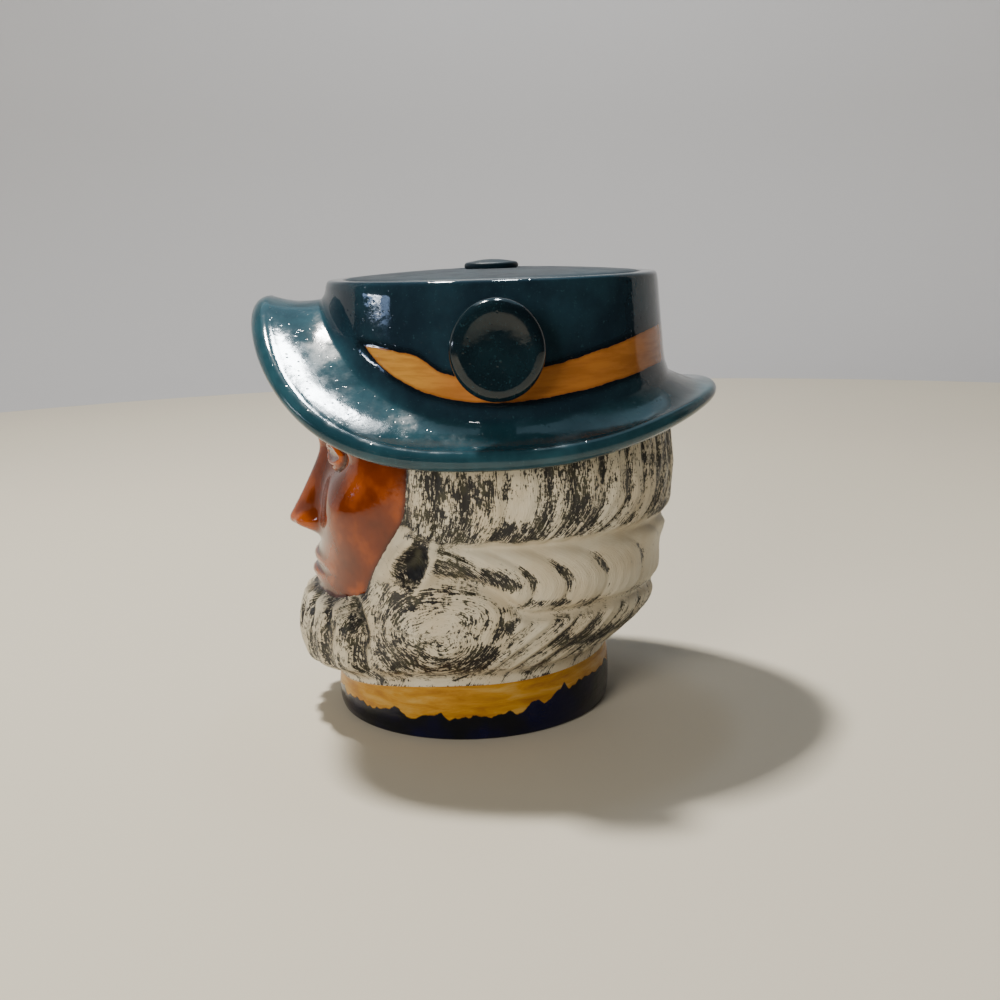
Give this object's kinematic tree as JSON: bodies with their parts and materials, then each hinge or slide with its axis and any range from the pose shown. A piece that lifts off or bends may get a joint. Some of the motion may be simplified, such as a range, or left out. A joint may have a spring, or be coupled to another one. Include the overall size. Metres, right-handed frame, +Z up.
{
  "type": "figural ice bucket",
  "caption": "Glazed ceramic ice bucket shaped as a bearded head in a brimmed hat, with a lift-off lid inside the crown's rim and a knob on each side for a bail.",
  "frame": {"origin": "middle of the foot's flat underside", "axes": "+Z up, the face looks along -Y, the part is alike on both sides of X = 0"},
  "size_m": [0.1672, 0.1744, 0.1708],
  "materials": {
    "bucket_glaze": "glossy glaze: teal hat, amber band and face, cream hair brushed with black, ochre collar with a navy foot",
    "lid_glaze": "glossy dark teal glaze"
  },
  "bodies": {
    "root": {"bucket": "bucket_glaze", "lid": "lid_glaze"}
  },
  "joints": []
}
